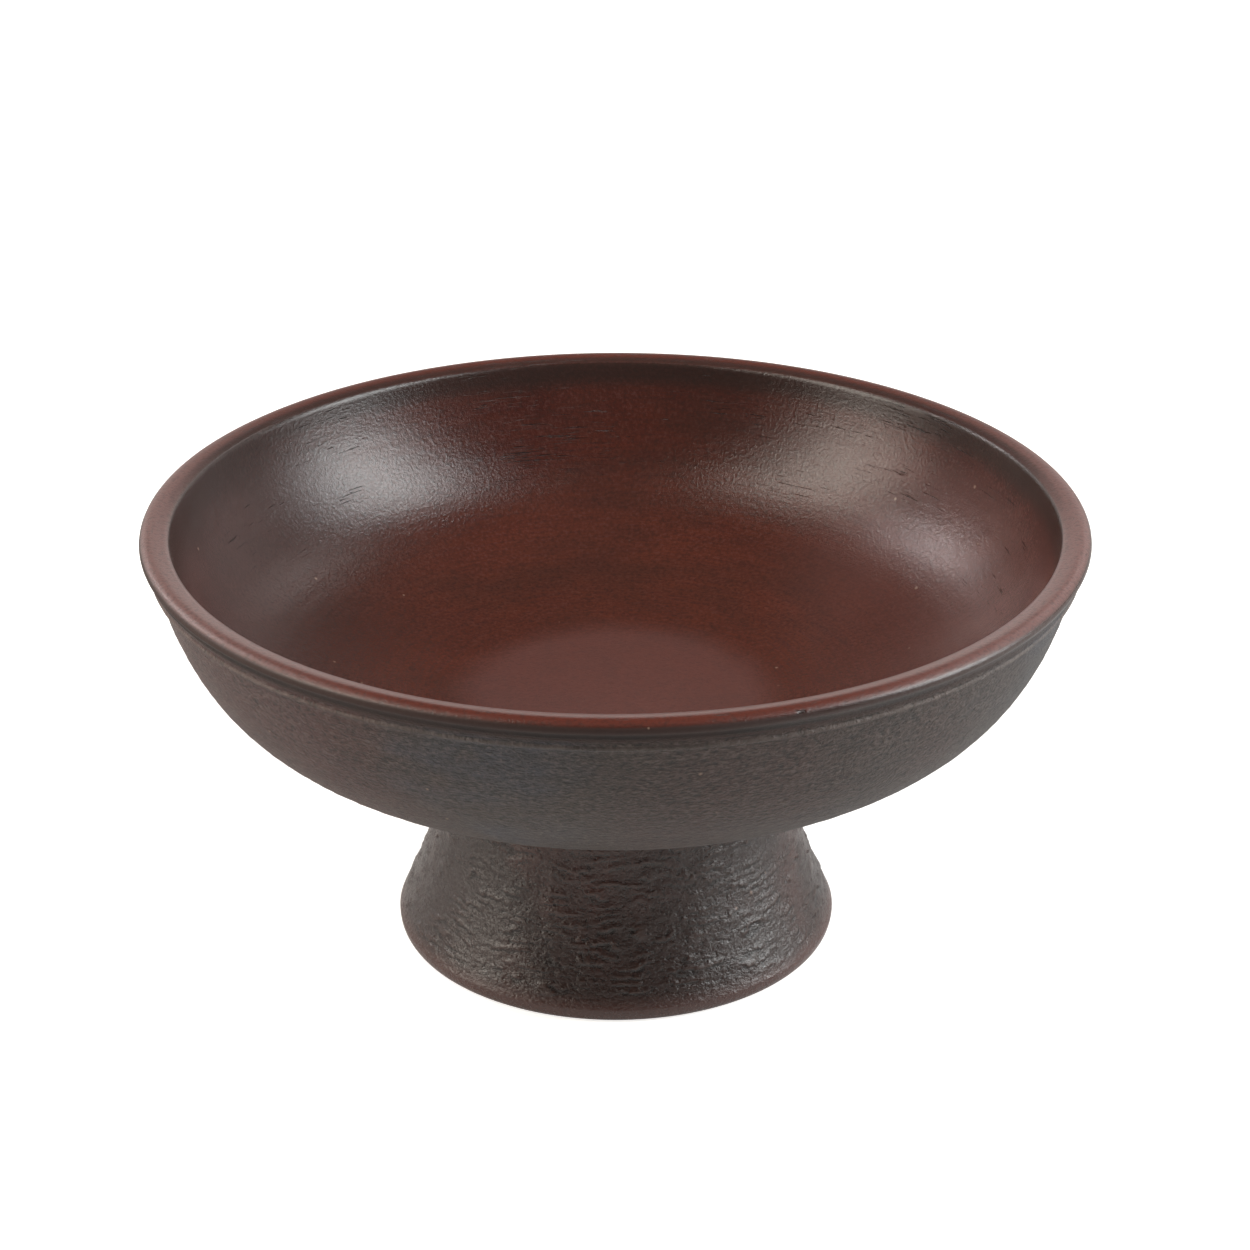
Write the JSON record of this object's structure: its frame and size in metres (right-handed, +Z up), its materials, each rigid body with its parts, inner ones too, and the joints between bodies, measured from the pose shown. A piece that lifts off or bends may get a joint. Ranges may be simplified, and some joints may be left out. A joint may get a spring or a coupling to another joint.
{
  "type": "footed fruit bowl",
  "caption": "Shallow round bowl with a rolled lip, thrown in dark smoked clay, on a hollow flared foot.",
  "frame": {"origin": "on the table, under the middle of the foot", "axes": "+Z up, along the axis the bowl was turned about; X and Y lie in the table plane, and the piece is the same all the way round"},
  "size_m": [0.27, 0.27, 0.1303],
  "materials": {
    "smoked_clay": "unglazed red clay, burnished and smoked dark, satin",
    "coarse_smoked_clay": "unglazed red clay, turned while soft so the skin is torn, smoked dark",
    "luting_slip": "dried and fired clay slip, matt",
    "pressed_clay": "finger-pressed clay, matt"
  },
  "bodies": {
    "root": {"bowl": "smoked_clay", "foot": "coarse_smoked_clay", "joint_slip": "luting_slip", "joint_coil": "pressed_clay"}
  },
  "joints": []
}
